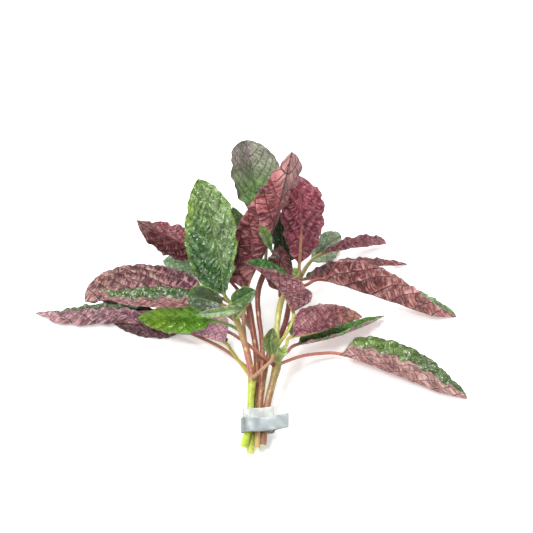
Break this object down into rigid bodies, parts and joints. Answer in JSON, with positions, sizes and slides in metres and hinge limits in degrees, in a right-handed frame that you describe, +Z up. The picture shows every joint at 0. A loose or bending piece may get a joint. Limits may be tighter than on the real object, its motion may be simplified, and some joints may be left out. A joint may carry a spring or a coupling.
{
  "type": "bunch of waffle plant cuttings",
  "caption": "Lying bunch of leafy Hemigraphis cuttings, puckered leaves green above and wine purple beneath, tied near the cut ends with foam and a bent grey metal strip.",
  "frame": {"origin": "on the table under the middle of the bunch's bounding box", "axes": "+X to the right of the bunch, +Y along the stems from the cut ends to the leaf tips, +Z up from the table it lies on"},
  "size_m": [0.2038, 0.1276, 0.0882],
  "materials": {
    "leaf_green": "puckered leaf with a green, silvery upper side and a purple underside",
    "leaf_purple": "puckered leaf that shows its wine purple underside",
    "stem_green": "smooth lime green to olive stem",
    "stem_red": "smooth tan to red-brown stem",
    "tie_metal": "dull soft grey metal strip",
    "tie_foam": "white foam wrap"
  },
  "bodies": {
    "root": {"leaf_green_front": "leaf_green", "leaf_top_back": "leaf_green", "leaf_purple_tall": "leaf_purple", "leaf_purple_upright": "leaf_purple", "leaf_bud": "leaf_green", "leaf_dark_centre": "leaf_purple", "leaf_purple_left": "leaf_purple", "leaf_behind_tall": "leaf_green", "leaf_behind_upright": "leaf_green", "leaf_young_centre": "leaf_green", "leaf_left_broad": "leaf_purple", "leaf_left_folded": "leaf_purple", "leaf_left_back_flat": "leaf_green", "leaf_left_long": "leaf_purple", "leaf_left_lowest": "leaf_purple", "leaf_left_bright": "leaf_green", "leaf_left_pink": "leaf_purple", "leaf_apex_left": "leaf_green", "leaf_apex_right": "leaf_green", "leaf_apex_low": "leaf_green", "leaf_right_inner": "leaf_purple", "leaf_right_middle": "leaf_purple", "leaf_right_narrow": "leaf_purple", "leaf_right_low": "leaf_purple", "leaf_right_broad": "leaf_purple", "leaf_right_behind": "leaf_purple", "leaf_right_top": "leaf_purple", "leaf_right_pale": "leaf_green", "leaf_node_dark": "leaf_green", "leaf_node_pale": "leaf_green", "stem_left": "stem_green", "stem_back_left": "stem_green", "stem_middle": "stem_red", "stem_back_right": "stem_red", "stem_right": "stem_red", "tie_strip": "tie_metal", "tie_foam": "tie_foam"}
  },
  "joints": []
}
